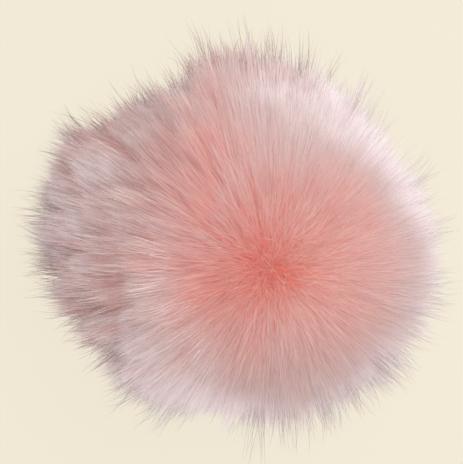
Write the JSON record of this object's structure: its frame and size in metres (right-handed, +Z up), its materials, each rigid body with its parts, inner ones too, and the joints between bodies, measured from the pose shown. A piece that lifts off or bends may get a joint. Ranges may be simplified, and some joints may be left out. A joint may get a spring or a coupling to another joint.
{
  "type": "fur pom pom",
  "caption": "Long-haired fur pom pom with a sew-on press stud under its gathered base, for a hat, bag or key ring.",
  "frame": {"origin": "on the floor under the middle of the pile's outline, which is also the middle of the press stud's open face to within a few millimetres", "axes": "+Z up, out of the pile's whorled top, as the picture looks down on it; +Y towards the picture's top edge and +X towards its right edge"},
  "size_m": [0.1372, 0.1294, 0.0998],
  "materials": {
    "fur_pink": "soft long pile, coral at the roots and pale lilac grey at the tips",
    "stud_black_nickel": "polished black nickel plating"
  },
  "bodies": {
    "root": {"pom_fur": "fur_pink", "press_stud": "stud_black_nickel"}
  },
  "joints": []
}
